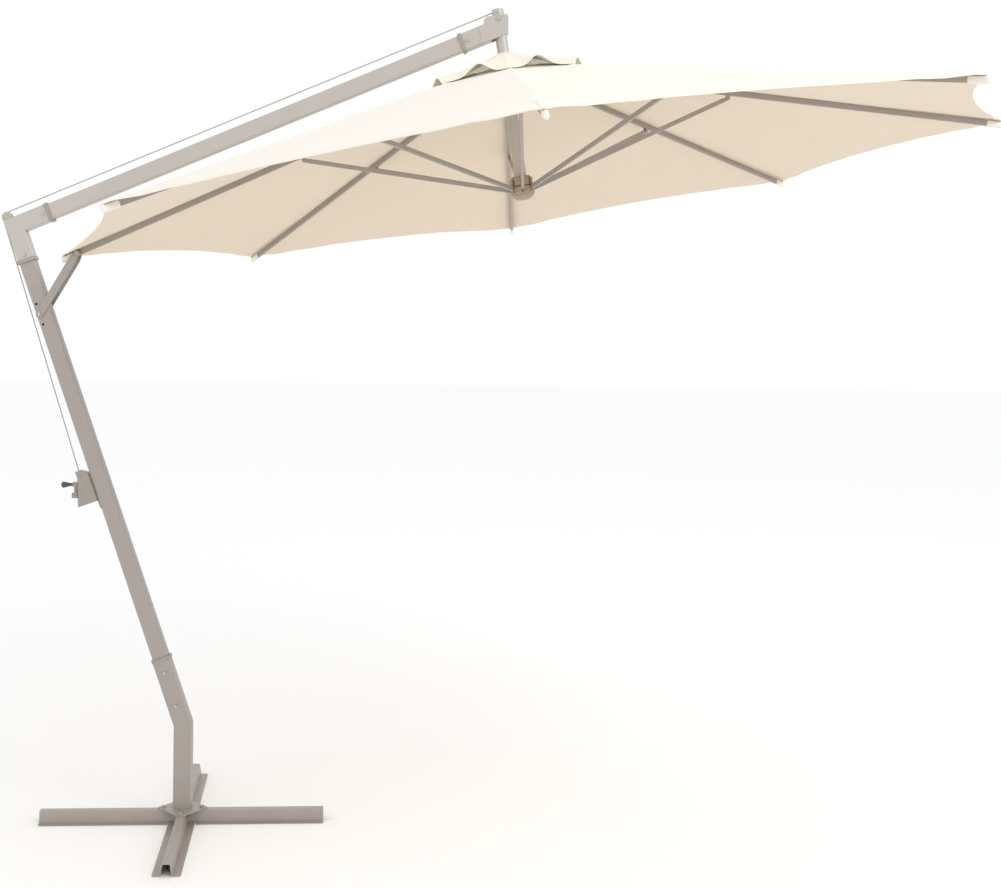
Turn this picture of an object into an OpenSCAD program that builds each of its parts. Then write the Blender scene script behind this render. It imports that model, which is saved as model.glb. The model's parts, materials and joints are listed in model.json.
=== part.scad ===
// Cantilever parasol: a leaning post and rising arm carry a short mast,
// from which an eight-rib canopy hangs.  +X runs from the post to the canopy,
// +Z is up, and the origin is the post's axis on the ground.  Millimetres.

/* [Canopy] */
// Radius of the open canopy, mast to rib tip
canopy_r = 1492; // [1200:4:1800]
// Slope of an open rib below the canopy's rim plane, degrees
rib_slope = 15.2; // [12:0.1:19]
// How far the ribs fold down from open to closed, degrees
fold_angle = 72; // [60:1:74]
// Length of a strut, and distance from a rib's hinge to its strut pin
strut_len = 675; // [560:5:780]
// Depth of the crown hinges below the head pivot
crown_depth = 160; // [130:1:190]
// Radius of the circle of hinge pins on crown and runner
hinge_r = 32; // [31:0.5:36]
// Height of the gap between the rib's top and the canopy
canopy_gap = 1.5; // [1:0.1:4]
// Thickness of the canopy solid
canopy_t = 1.5; // [1.2:0.1:2.5]
// How far each hem bows in between two ribs
hem_bow = 55; // [30:5:120]
// Radius of the opening at the canopy's top
vent_hole_r = 150; // [120:5:180]
// Radius of the vent's own small canopy
vent_r = 275; // [210:5:290]

/* [Ribs and struts] */
// Height of a rib
rib_h = 18; // [16:0.5:20]
// Width of a rib
rib_w = 10; // [8:0.5:11]
// Height of a strut
strut_h = 14; // [12:0.5:15]
// Width of a strut
strut_w = 10; // [8:0.5:11]
// Wall of the rib and strut tubes
rib_wall = 1; // [0.8:0.1:2]
// Diameter of the hinge pins
pin_d = 4.5; // [4:0.1:5]

/* [Frame] */
// Width of the post and arm tubes in the frame's plane
tube_d = 52; // [46:1:60]
// Width of the post and arm tubes across the frame's plane
tube_w = 36; // [32:1:42]
// Wall of the tubes
tube_wall = 1.8; // [1.4:0.1:2.4]
// Wall of the sleeves that the tubes slide into
sleeve_wall = 2.5; // [2:0.1:3]
// Clearance between a tube and its sleeve
sleeve_gap = 0.25; // [0.1:0.05:0.5]
// Height of the bend in the lower post
bend_z = 314; // [260:2:380]
// Lean of the upright pole away from the canopy, degrees
pole_lean = 19.46; // [16:0.1:23]
// Length from the bend to the elbow's corner
pole_len = 1705; // [1500:5:1900]
// Rise of the arm above the horizontal, degrees
arm_rise = 22.25; // [18:0.25:26]
// Length from the elbow's corner to the head pivot, along the arm
arm_len = 1697; // [1500:5:1900]
// Length of the lower post above the bend
socket_len = 224; // [180:2:280]
// Length of each plastic collar
collar_len = 8; // [6:1:18]

/* [Mast] */
// Outer diameter of the mast
mast_d = 38; // [34:0.5:40]
// Lean of the mast from the vertical, degrees
mast_tilt = 8.5; // [5:0.25:12]
// Depth of the strut hinges below the head pivot, canopy open
runner_depth = 548; // [500:4:600]

/* [Base] */
// Length of each base bar
leg_span = 910; // [760:10:1100]
// Width of a base bar across its two flanges
leg_w = 85; // [76:1:100]
// Height of a base bar
leg_h = 38; // [34:1:44]
// Width of a base bar's top web
web_w = 24; // [20:1:28]
// Thickness of the base bars' steel
leg_t = 2; // [1.5:0.1:3]
// Turn of the base about the post's axis, degrees
base_turn = 6.7; // [-15:0.1:15]
// Distance between opposite corners of the flange plate
plate_diag = 160; // [150:2:190]
// Thickness of the flange plate
plate_t = 5; // [4:0.5:8]
// Distance of each base bolt from the post's axis
base_bolt_r = 62; // [58:1:72]

/* [Winch and cord] */
// Distance from the bend to the winch's middle, along the pole
winch_s = 820; // [700:10:1000]
// Radius at which the cord winds on the drum
drum_r = 14; // [12:0.5:16]
// Distance between the crank's axle and its knob
crank_throw = 36; // [32:1:54]
// Diameter of the hoist cord
cord_d = 4; // [3:0.5:5]
// Radius of the elbow pulley's groove
elbow_pulley_r = 13; // [11:0.5:15]

/* [Link] */
// Distance from the bend to the middle adjusting hole, along the pole
link_hole_s = 1406; // [1350:2:1460]
// Distance between two adjusting holes
link_hole_pitch = 35; // [30:1:40]
// Width of the link's plates
link_w = 25; // [20:1:30]
// Radius from the mast to the link's pin on rib 1
link_pin_r = 1450; // [1150:10:1480]

/* [Hidden] */
$fn = 48;

RIBS = 8;
frame_grey = "#A69F98";
arm_grey = "#C6C1BB";
plastic_grey = "#9A948C";
hub_tan = "#B9A596";
cloth_cream = "#F2EBDD";
cord_grey = "#B7B5B1";
steel = "#C9C8C4";
housing_cream = "#D0C4AE";

big = 6000;
run_gap = 0.08;
side_gap = 0.4;
// Play of the seven strut pivots that close the linkage
open_gap = 0.35;
tube_r = 5;

// Frame: the two straight members meet on a mitre at the elbow's corner.
elbow_x = -pole_len * sin(pole_lean);
elbow_z = bend_z + pole_len * cos(pole_lean);
arm_turn = 90 - arm_rise;
mitre_turn = (arm_turn - pole_lean) / 2;
sleeve_d = tube_d + 2 * (sleeve_gap + sleeve_wall);
sleeve_w = tube_w + 2 * (sleeve_gap + sleeve_wall);
collar_d = sleeve_d + 5;
collar_w = sleeve_w + 5;
tube_end = 34;
elbow_sleeve = 122;
frame_bolt_r = 3;
frame_head_h = 4;
frame_hole_r = frame_bolt_r + 0.2;
frame_nut_h = 11;
frame_head_r = 5.5;

// Head: the pivot sits above the arm's axis, between two cheeks.
head_rise = 27;
head_x = elbow_x + arm_len * cos(arm_rise) - head_rise * sin(arm_rise);
head_z = elbow_z + arm_len * sin(arm_rise) + head_rise * cos(arm_rise);
cheek_in = mast_d / 2 + 0.6;
cheek_t = 3;
head_sleeve = 139;
pivot_r = 4;
arm_end = arm_len - mast_d - 16;

// Mast: depths are measured down its axis from the head pivot.
mast_wall = 1.8;
mast_bottom = runner_depth - 12;
mast_top = 13;
mast_collar_h = 31;
mast_collar_r = hinge_r + 5;
crown_core_r = hinge_r - 7;
crown_r = hinge_r + 7;
crown_top = crown_depth - 13;
crown_bottom = crown_depth + 13;
runner_top = runner_depth - 9;
runner_bottom = runner_depth + 32;
runner_slot_bottom = runner_depth + 9;

// Fold: rib hinge, strut pin and runner hinge make an isosceles triangle.
link_slope = asin((runner_depth - crown_depth) / (2 * strut_len));
strut_pin_x = strut_len * cos(link_slope - rib_slope);
strut_pin_z = -strut_len * sin(link_slope - rib_slope);
rib_len = (canopy_r - hinge_r) / cos(rib_slope) + 6;
blade_len = 16;
blade_h = 12;
strut_blade_w = 4;
ear_t = 2.5;
rim_depth = crown_depth + (canopy_r - hinge_r) * tan(rib_slope);

// Winch: measured out from the pole's outer face and up from winch_s.
winch_w = 2 * drum_r + 14;
winch_wall = 2;
winch_plate_t = 3;
winch_bottom = -47;
winch_top = 43;
winch_deep = 70;
winch_shallow = 42;
winch_face_turn = atan((winch_deep - winch_shallow) / (winch_top - winch_bottom));
crank_z = -12;
crank_x = winch_deep - (crank_z - winch_bottom) * tan(winch_face_turn);
axle_r = 5;
knob_len = 36;
drum_t = 12;
drum_in = 11;
spout_x = 38;
spout_z = 65;
spout_half = cord_d / 2 + winch_wall + 1;

// Cord: from the drum over the elbow pulley, above the arm, over the head pulley.
cord_r = cord_d / 2;
pulley_out = 18;
pulley_up = 38;
elbow_cord_r = elbow_pulley_r + cord_r;
rim_over = 2.6;
pulley_w = cord_d + 3;
housing_t = 6;
head_pulley_r = 7.5;
head_cord_r = head_pulley_r + cord_r;
head_pulley_x = pivot_r + cord_r + 0.6 - head_cord_r;
head_pulley_z = 18;
elbow_half = (arm_turn + pole_lean) / 2;

// Link: runs from rib 1's pin to the pole's middle hole.
link_t = 3;
link_hole_x = -14;
link_pin_depth = crown_depth + (link_pin_r - hinge_r) * tan(rib_slope);
link_top_x = head_x - link_pin_r * cos(mast_tilt) + link_pin_depth * sin(mast_tilt);
link_top_z = head_z - link_pin_r * sin(mast_tilt) - link_pin_depth * cos(mast_tilt);
link_low_x = -link_hole_s * sin(pole_lean) + link_hole_x * cos(pole_lean);
link_low_z = bend_z + link_hole_s * cos(pole_lean) + link_hole_x * sin(pole_lean);
link_len = norm([link_top_x - link_low_x, link_top_z - link_low_z]);
link_turn = atan2(link_top_x - link_low_x, link_top_z - link_low_z);
link_pin_rad = 3;
link_top_r = 7.5;
link_hole_rad = 4;
link_in = tube_w / 2 + side_gap;

// ---- Shared shapes ----

// Rectangle with round corners; mitred pieces take 12 sides a circle.
module rounded(w, d, r, sides = 48) {
    square([w - 2 * r, d], center = true);
    square([w, d - 2 * r], center = true);
    for (x = [-1, 1], y = [-1, 1])
        translate([x * (w / 2 - r), y * (d / 2 - r)]) circle(r, $fn = sides);
}

// Rectangular tube standing on the XY plane.
module tube(w, d, wall, len, sides = 48) {
    linear_extrude(len) difference() {
        rounded(w, d, tube_r, sides);
        rounded(w - 2 * wall, d - 2 * wall, max(tube_r - wall, 0.6), sides);
    }
}

module ring(r_out, r_in, h) {
    difference() {
        cylinder(r = r_out, h = h);
        translate([0, 0, -1]) cylinder(r = r_in, h = h + 2);
    }
}

// Cylinder along Y, centred.
module across(r, len) {
    rotate([90, 0, 0]) cylinder(r = r, h = len, center = true);
}

// Plate from the origin up Z, thickness along Y, with a small round upper end.
module round_plate(w, top_r, len, t) {
    rotate([90, 0, 0]) linear_extrude(t, center = true) {
        circle(w / 2);
        translate([0, len]) circle(top_r);
        translate([-w / 2, 0]) square([w, len - w]);
        polygon([[-w / 2, len - w - 0.1], [w / 2, len - w - 0.1], [top_r, len], [-top_r, len]]);
    }
}

// Half space on one side of the plane whose normal is turned from +Z by `turn`.
module half_space(turn, above) {
    rotate([0, turn, 0]) translate([-big / 2, -big / 2, above ? 0 : -big]) cube(big);
}

// ---- Places ----

// s along the pole from the bend: Z up the pole, +X its inner side.
module at_pole(s) { translate([0, 0, bend_z]) rotate([0, -pole_lean, 0]) translate([0, 0, s]) children(); }
// s along the arm from the elbow: Z along the arm, -X its upper side.
module at_arm(s) { translate([elbow_x, 0, elbow_z]) rotate([0, arm_turn, 0]) translate([0, 0, s]) children(); }
// Depth down the mast from the head pivot.
module at_mast(depth) { translate([head_x, 0, head_z]) rotate([0, -mast_tilt, 0]) translate([0, 0, -depth]) children(); }
// Rib k's own frame: origin on its hinge, X along the rib, Z its upper side.
module at_rib(k) {
    at_mast(crown_depth) rotate([0, 0, 180 + (k - 1) * 360 / RIBS])
        translate([hinge_r, 0, 0]) rotate([0, rib_slope, 0]) children();
}
// Strut k's own frame: origin on its rib pin, X towards the runner.
module at_strut(k) {
    at_rib(k) translate([strut_pin_x, 0, strut_pin_z])
        rotate([0, -rib_slope, 0]) rotate([0, 180 - link_slope, 0]) children();
}
// Winch frame: X out of the pole's outer face, Z up the pole.
module at_winch() { at_pole(winch_s) translate([-tube_d / 2, 0, 0]) rotate([0, 0, 180]) children(); }
// Crank frame: Z out along the axle, -X up the case towards the knob.
module at_crank() { at_winch() translate([crank_x, 0, crank_z]) rotate([0, 90 - winch_face_turn, 0]) children(); }
// Elbow pulley's centre, Z along the arm.
module at_elbow_pulley() {
    at_arm(0) translate([-pulley_up, 0, pulley_back]) children();
}
// Distance of the pulley's centre behind the corner, along the arm, that puts it
// pulley_out outside the pole's axis.
pulley_back = -(pulley_out - pulley_up * cos(2 * elbow_half)) / sin(2 * elbow_half);

// ---- Base ----

// Hat section: top web, two sloping walls and two flanges on the ground.
module hat_section() {
    foot = web_w / 2 + 5;
    difference() {
        polygon([[-leg_w / 2, 0], [leg_w / 2, 0], [leg_w / 2, leg_t], [foot + leg_t, leg_t],
            [web_w / 2 + 1, leg_h - 1], [web_w / 2, leg_h], [-web_w / 2, leg_h],
            [-web_w / 2 - 1, leg_h - 1], [-foot - leg_t, leg_t], [-leg_w / 2, leg_t]]);
        polygon([[-foot, -1], [foot, -1], [foot, leg_t], [web_w / 2 - leg_t + 0.5, leg_h - leg_t],
            [-web_w / 2 + leg_t - 0.5, leg_h - leg_t], [-foot, leg_t]]);
    }
}

// One bar along X, its flange corners rounded at both ends.
module hat_bar() {
    difference() {
        rotate([90, 0, 90]) linear_extrude(leg_span, center = true) hat_section();
        for (x = [-1, 1], y = [-1, 1])
            translate([x * leg_span / 2, y * leg_w / 2, -1]) difference() {
                cube([16, 16, 2 * (leg_t + 2)], center = true);
                translate([-x * 8, -y * 8, -5]) cylinder(r = 8, h = 10 + leg_t);
            }
        for (x = [-1, 1]) translate([x * base_bolt_r, 0, 0]) cylinder(r = 4.3, h = leg_h + 1);
    }
}

module base_bar_x() {
    lap = web_w + 2 * leg_t + 12;
    color(frame_grey) rotate(base_turn) difference() {
        hat_bar();
        translate([0, 0, leg_t / 2]) cube([leg_w + 6, leg_w + 2, leg_t + 1.6], center = true);
        translate([0, 0, leg_h / 2 + big / 2]) cube([lap, leg_w, big], center = true);
    }
}

module base_bar_y() {
    lap = web_w + 2 * leg_t + 12;
    color(frame_grey) rotate(90 + base_turn) difference() {
        hat_bar();
        translate([0, 0, leg_h / 2 + 0.4 - big / 2]) cube([lap, web_w + 2 * leg_t + 14, big], center = true);
    }
}

module flange_plate() {
    side = plate_diag / sqrt(2);
    color(frame_grey) translate([0, 0, leg_h]) difference() {
        rotate(45 + base_turn) linear_extrude(plate_t) rounded(side + 2, side + 2, 5);
        for (k = [0:3]) rotate(k * 90 + base_turn) translate([base_bolt_r, 0, -1])
            cylinder(r = 4.3, h = plate_t + 2);
    }
}

module base_bolts() {
    color(steel) for (k = [0:3]) rotate(k * 90 + base_turn) translate([base_bolt_r, 0, 0]) {
        translate([0, 0, leg_h + plate_t]) cylinder(r = 7.5, h = 1.6);
        translate([0, 0, leg_h + plate_t + 1.6]) cylinder(r = 6.5, h = 5, $fn = 6);
        translate([0, 0, leg_h - leg_t - 12]) cylinder(r = 4, h = plate_t + leg_t + 14);
    }
}

module base_nuts() {
    color(steel) for (k = [0:3]) rotate(k * 90 + base_turn)
        translate([base_bolt_r, 0, leg_h - leg_t - 8.1]) difference() {
            cylinder(r = 7.5, h = 8, $fn = 6);
            translate([0, 0, -1]) cylinder(r = 4.02, h = 10);
        }
}

// ---- Post, pole, elbow and arm ----

module lower_post() {
    foot = leg_h + plate_t;
    color(frame_grey) difference() {
        union() {
            difference() {
                translate([0, 0, foot]) tube(sleeve_d, sleeve_w, sleeve_wall, bend_z, 12);
                translate([0, 0, bend_z]) half_space(-pole_lean / 2, true);
            }
            difference() {
                at_pole(-60) tube(sleeve_d, sleeve_w, sleeve_wall, socket_len + 60, 12);
                translate([0, 0, bend_z]) half_space(-pole_lean / 2, false);
            }
        }
        for (s = post_bolt_s) at_pole(s) across(frame_hole_r, big / 20);
    }
}
post_bolt_s = [65, 177];

module post_collar() {
    color(plastic_grey) at_pole(socket_len - collar_len) difference() {
        linear_extrude(collar_len + 3) rounded(collar_d, collar_w, tube_r + 3);
        translate([0, 0, -1]) linear_extrude(collar_len + 1) rounded(sleeve_d + 0.1, sleeve_w + 0.1, tube_r);
        translate([0, 0, -1]) linear_extrude(collar_len + 9)
            rounded(tube_d + 2 * sleeve_gap, tube_w + 2 * sleeve_gap, tube_r);
    }
}

module pole() {
    start = 42;
    color(frame_grey) difference() {
        at_pole(start) tube(tube_d, tube_w, tube_wall, pole_len - tube_end - start);
        for (s = post_bolt_s) at_pole(s) across(frame_hole_r, big / 20);
        at_pole(pole_len - elbow_bolt_s) across(frame_hole_r, big / 20);
        for (k = [-1:1]) at_pole(link_hole_s + k * link_hole_pitch)
            translate([link_hole_x, 0, 0]) across(link_hole_rad, big / 20);
    }
}
elbow_bolt_s = 102;

// Points round a rectangle of w by d whose corners have radius r.
function round_outline(w, d, r, steps = 3) = [for (c = [0:3], i = [0:steps])
    let (a = 90 * (c + i / steps),
        sx = (c == 0 || c == 3) ? 1 : -1,
        sy = c < 2 ? 1 : -1)
    [sx * (w / 2 - r) + r * cos(a), sy * (d / 2 - r) + r * sin(a)]];

// Outer body of the elbow, solid, with its two straight halves mitred at the corner.
module elbow_outer() {
    outline = round_outline(sleeve_d, sleeve_w, tube_r);
    n = len(outline);
    pts = concat(
        [for (p = outline) pole_point(p[0], p[1], pole_len - elbow_sleeve)],
        [for (p = outline) pole_point(p[0], p[1], pole_len - p[0] * tan(elbow_half))],
        [for (p = outline) arm_point(p[0], p[1], elbow_sleeve)]);
    polyhedron(pts, concat([[for (k = [0:n - 1]) k]],
        [for (i = [0:1], k = [0:n - 1]) [i * n + k, (i + 1) * n + k, (i + 1) * n + (k + 1) % n, i * n + (k + 1) % n]],
        [[for (k = [n - 1:-1:0]) 2 * n + k]]));
}

module elbow() {
    color(arm_grey) difference() {
        elbow_outer();
        at_pole(pole_len - elbow_sleeve - 1) linear_extrude(elbow_sleeve + 1 - tube_end)
            rounded(tube_d + 2 * sleeve_gap, tube_w + 2 * sleeve_gap, tube_r, 12);
        at_arm(tube_end) linear_extrude(elbow_sleeve - tube_end + 1)
            rounded(tube_d + 2 * sleeve_gap, tube_w + 2 * sleeve_gap, tube_r, 12);
        at_elbow_pulley() rotate([90, 0, 0])
            cylinder(r = elbow_pulley_r + rim_over + 1.8, h = pulley_w + 1.6, center = true, $fn = 12);
        at_pole(pole_len - elbow_bolt_s) across(frame_hole_r, big / 20);
        at_arm(elbow_bolt_s) across(frame_hole_r, big / 20);
    }
}

// Band around the end of a sleeve that closes the gap to the tube.
module sleeve_collar() {
    difference() {
        linear_extrude(collar_len + 3) rounded(collar_d, collar_w, tube_r + 3);
        translate([0, 0, 3]) linear_extrude(collar_len + 1) rounded(sleeve_d + 0.1, sleeve_w + 0.1, tube_r);
        translate([0, 0, -1]) linear_extrude(collar_len + 9)
            rounded(tube_d + 2 * sleeve_gap, tube_w + 2 * sleeve_gap, tube_r);
    }
}

module elbow_collars() {
    color(plastic_grey) {
        at_pole(pole_len - elbow_sleeve - 3) sleeve_collar();
        at_arm(elbow_sleeve + 3) mirror([0, 0, 1]) sleeve_collar();
    }
}

// Two cheeks that hold the elbow pulley above the corner.
module pulley_housing() {
    out = elbow_pulley_r + rim_over + 0.4;
    color(housing_cream) difference() {
        at_elbow_pulley() for (y = [-1, 1]) translate([0, y * (pulley_w / 2 + 0.6 + housing_t / 2), 0]) {
            across(out, housing_t);
            translate([0, -housing_t / 2, -out]) cube([pulley_up - sleeve_d / 2, housing_t, 2 * out]);
        }
        at_elbow_pulley() across(3, big / 20);
        elbow_outer();
    }
}

module elbow_axle() {
    color(steel) at_elbow_pulley() across(2.9, pulley_w + 1.2 + 2 * housing_t);
}

// Grooved wheel along Y.
module pulley(groove, over, w, bore) {
    rotate([90, 0, 0]) difference() {
        rotate_extrude() polygon([[bore, -w / 2], [groove + over, -w / 2], [groove + over, -w / 2 + 0.8],
            [groove, -cord_r * 0.8], [groove, cord_r * 0.8], [groove + over, w / 2 - 0.8],
            [groove + over, w / 2], [bore, w / 2]]);
    }
}

module elbow_pulley() {
    color(housing_cream) at_elbow_pulley() pulley(elbow_pulley_r - 0.3, rim_over, pulley_w, 2.9 + run_gap);
}

module arm() {
    color(arm_grey) difference() {
        at_arm(tube_end) tube(tube_d, tube_w, tube_wall, arm_end - tube_end);
        at_arm(elbow_bolt_s) across(frame_hole_r, big / 20);
        at_arm(arm_len - head_bolt_back) across(frame_hole_r, big / 20);
    }
}
head_bolt_back = 118;

// Outline of a cheek in the head pivot's own upright X-Z frame.
function cheek_outline() = [[-49, -24], [-47, -5], [-39, 5], [20, 13], [27, 11], [30, 5], [30, -44],
    [5, -58], [-20, -68], [-60, -80]];

module head_bracket() {
    color(arm_grey) difference() {
        union() {
            at_arm(arm_len - head_sleeve) linear_extrude(head_sleeve - 46) rounded(sleeve_d, sleeve_w, tube_r);
            for (y = [-1, 1]) translate([head_x, y * (cheek_in + cheek_t / 2), head_z])
                rotate([90, 0, 0]) linear_extrude(cheek_t, center = true) polygon(cheek_outline());
            at_arm(arm_len - 72) linear_extrude(26)
                square([sleeve_d - 4, 2 * (cheek_in + cheek_t)], center = true);
        }
        at_arm(arm_len - head_sleeve - 1) linear_extrude(head_sleeve + 1 - (arm_len - arm_end))
            rounded(tube_d + 2 * sleeve_gap, tube_w + 2 * sleeve_gap, tube_r);
        at_arm(arm_len - head_bolt_back) across(frame_hole_r, big / 20);
        at_mast(0) {
            across(pivot_r + 0.05, big / 20);
            translate([0, 0, -95]) cylinder(r = cheek_in, h = 180);
        }
        at_arm(arm_len - 72) translate([sleeve_d / 2 + 0.2, -50, -30]) cube([60, 100, 140]);
    }
}

module head_collar() {
    color(plastic_grey) at_arm(arm_len - head_sleeve - 3) sleeve_collar();
}

// Bolt across the frame: head on the -Y side, thread end on the +Y side.
module cross_bolt(r, w, head_r, head_h) {
    across(r, w);
    translate([0, -w / 2 - head_h / 2, 0]) across(head_r, head_h);
    translate([0, w / 2 + 4, 0]) across(r, 8.2);
}

module frame_bolts() {
    color(steel) {
        for (s = post_bolt_s) at_pole(s) cross_bolt(frame_bolt_r, sleeve_w, frame_head_r, frame_head_h);
        at_pole(pole_len - elbow_bolt_s) cross_bolt(frame_bolt_r, sleeve_w, frame_head_r, frame_head_h);
        at_arm(elbow_bolt_s) cross_bolt(frame_bolt_r, sleeve_w, frame_head_r, frame_head_h);
        at_arm(arm_len - head_bolt_back) cross_bolt(frame_bolt_r, sleeve_w, frame_head_r, frame_head_h);
    }
}

// Domed nut on a bolt's +Y end.
module cap_nut(r, w, nut_r, h) {
    difference() {
        translate([0, w / 2 + h / 2, 0]) rotate([90, 0, 0]) cylinder(r = nut_r, h = h, center = true, $fn = 6);
        translate([0, w / 2, 0]) across(r + 0.02, 2 * (h - 1.5));
    }
}

module frame_nuts() {
    color(steel) {
        for (s = post_bolt_s) at_pole(s) cap_nut(frame_bolt_r, sleeve_w, frame_head_r, frame_nut_h);
        at_pole(pole_len - elbow_bolt_s) cap_nut(frame_bolt_r, sleeve_w, frame_head_r, frame_nut_h);
        at_arm(elbow_bolt_s) cap_nut(frame_bolt_r, sleeve_w, frame_head_r, frame_nut_h);
        at_arm(arm_len - head_bolt_back) cap_nut(frame_bolt_r, sleeve_w, frame_head_r, frame_nut_h);
    }
}

module pivot_bolt() {
    color(steel) at_mast(0) cross_bolt(pivot_r, 2 * (cheek_in + cheek_t), 8, 5);
}

module pivot_nut() {
    color(steel) at_mast(0) cap_nut(pivot_r, 2 * (cheek_in + cheek_t), 8, 11);
}

// ---- Winch ----

module winch_plate() {
    color(plastic_grey) at_winch() difference() {
        translate([0, -tube_w / 2 + 2, winch_bottom - 25]) cube([winch_plate_t, tube_w - 4, winch_top - winch_bottom + 34]);
        for (z = winch_screw_z) translate([0, 0, z]) rotate([0, 90, 0]) cylinder(r = 2.6, h = 20, center = true);
    }
}
winch_screw_z = [winch_bottom - 16, winch_bottom - 6];

function case_outline(inset) = [
    [winch_plate_t + (inset > 0 ? -1 : 0), winch_bottom + inset],
    [winch_deep - inset, winch_bottom + inset],
    [winch_shallow - inset, winch_top],
    [spout_x + spout_half - inset, spout_z + (inset > 0 ? 1 : 0)],
    [spout_x - spout_half + inset, spout_z + (inset > 0 ? 1 : 0)],
    [winch_plate_t + 3 + inset, winch_top + 6],
    [winch_plate_t + (inset > 0 ? -1 : 0), winch_top + 3 - inset]];

module winch_case() {
    color(plastic_grey) difference() {
        at_winch() rotate([90, 0, 0]) linear_extrude(winch_w, center = true) polygon(case_outline(0));
        at_winch() rotate([90, 0, 0]) linear_extrude(winch_w - 2 * winch_wall, center = true)
            polygon(case_outline(winch_wall));
        at_crank() cylinder(r = axle_r + run_gap, h = 40, center = true);
    }
}

module winch_screws() {
    color(steel) at_winch() for (z = winch_screw_z) translate([0, 0, z]) rotate([0, 90, 0]) {
        translate([0, 0, winch_plate_t]) cylinder(r = 5, h = 2.4);
        translate([0, 0, 0.05]) cylinder(r = 2.5, h = winch_plate_t);
    }
}

module crank_axle() {
    color(steel) at_crank() translate([0, 0, -drum_in - drum_t - 2])
        cylinder(r = axle_r, h = drum_in + drum_t + 2 + 24);
}

module drum() {
    color(plastic_grey) at_crank() translate([0, 0, -drum_in - drum_t]) rotate_extrude()
        polygon([[axle_r, 0], [drum_r + 3, 0], [drum_r + 3, 1.5], [drum_r - cord_r - 1.5, 2.5],
            [drum_r - cord_r - 1.5, drum_t - 2.5], [drum_r + 3, drum_t - 1.5], [drum_r + 3, drum_t], [axle_r, drum_t]]);
}

module drum_cord() {
    turns = 2;
    color(cord_grey) at_crank() for (k = [0:turns - 1])
        translate([0, 0, -drum_in - drum_t / 2 + (k - (turns - 1) / 2) * (cord_d - 1.2)])
            rotate_extrude() translate([drum_r - cord_r + 0.6, 0]) circle(cord_r - 0.7, $fn = 16);
}

module crank_arm() {
    color(plastic_grey) at_crank() {
        difference() {
            union() {
                translate([0, 0, 6]) cylinder(r = 9, h = 18);
                translate([-crank_throw, 0, 6]) cylinder(r = 8, h = 14);
                translate([-crank_throw, -7, 8]) cube([crank_throw, 14, 8]);
            }
            translate([0, 0, -1]) cylinder(r = axle_r, h = 26);
        }
        translate([-crank_throw, 0, 19]) cylinder(r = 3, h = knob_len + 3);
        translate([-crank_throw, 0, 21 + knob_len]) cylinder(r = 5, h = 2);
    }
}

// Flared grip that spins on the crank's stud.
module crank_knob() {
    color("#5E5A55") at_crank() translate([-crank_throw, 0, 20.5])
        rotate_extrude() polygon([[3 + run_gap, 0], [5, 0], [5, 8], [6.5, 16], [8.5, 24], [10, 30],
            [10, 33], [8, knob_len], [3 + run_gap, knob_len]]);
}

// ---- Cord ----

// Unit place of the cord's tangent points, in world X-Z.
pulley_c = [elbow_x, 0, elbow_z]
    + pulley_back * [sin(arm_turn), 0, cos(arm_turn)]
    + pulley_up * [-cos(arm_turn), 0, sin(arm_turn)];
function pole_point(x, y, s) = [x * cos(pole_lean) - s * sin(pole_lean), y,
    bend_z + x * sin(pole_lean) + s * cos(pole_lean)];
function arm_point(x, y, s) = [elbow_x + x * cos(arm_turn) + s * sin(arm_turn), y,
    elbow_z - x * sin(arm_turn) + s * cos(arm_turn)];
function mast_point(x, depth) = [head_x + x * cos(mast_tilt) + depth * sin(mast_tilt), 0,
    head_z + x * sin(mast_tilt) - depth * cos(mast_tilt)];
head_pulley_c = mast_point(head_pulley_x, -head_pulley_z);
spout_p = pole_point(-tube_d / 2 - spout_x, 0, winch_s + crank_z + drum_r + 12);
// Angle from a point outside a circle to its tangent, for the two straight runs.
function run_turn(a, c) = atan2(c[0] - a[0], c[2] - a[2]);
pole_run = norm(pulley_c - spout_p);
pole_turn = run_turn(spout_p, pulley_c) - asin(elbow_cord_r / pole_run);
pole_tan = pulley_c + elbow_cord_r * [-cos(pole_turn), 0, sin(pole_turn)];
arm_run = norm(head_pulley_c - pulley_c);
arm_cord_turn = run_turn(pulley_c, head_pulley_c) - asin((head_cord_r - elbow_cord_r) / arm_run);
arm_tan = pulley_c + elbow_cord_r * [-cos(arm_cord_turn), 0, sin(arm_cord_turn)];
head_tan = head_pulley_c + head_cord_r * [-cos(arm_cord_turn), 0, sin(arm_cord_turn)];

// Points of cord over a pulley at c, between two directions given as turns from +Z.
function over_pulley(c, r, from_turn, to_turn, steps) = [for (i = [0:steps])
    let (t = from_turn + (to_turn - from_turn) * i / steps) c + r * [-cos(t), 0, sin(t)]];

// Eight-sided cord swept along points that lie in one X-Z plane.
module cord_along(points) {
    sides = 8;
    n = len(points);
    function unit(v) = v / norm(v);
    function ahead(i) = unit(points[min(i + 1, n - 1)] - points[min(i, n - 2)]);
    function along(i) = unit(ahead(i) + ahead(max(i - 1, 0)));
    function out(i) = [-along(i)[2], 0, along(i)[0]];
    function id(i, j) = i * sides + j % sides;
    polyhedron(
        [for (i = [0:n - 1], j = [0:sides - 1])
            points[i] + cord_r * (cos(j * 360 / sides) * out(i) + sin(j * 360 / sides) * [0, 1, 0])],
        concat([[for (j = [sides - 1:-1:0]) id(0, j)]],
            [for (i = [0:n - 2], j = [0:sides - 1]) [id(i, j), id(i, j + 1), id(i + 1, j + 1)]],
            [for (i = [0:n - 2], j = [0:sides - 1]) [id(i, j), id(i + 1, j + 1), id(i + 1, j)]],
            [[for (j = [0:sides - 1]) id(n - 1, j)]]));
}

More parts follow.
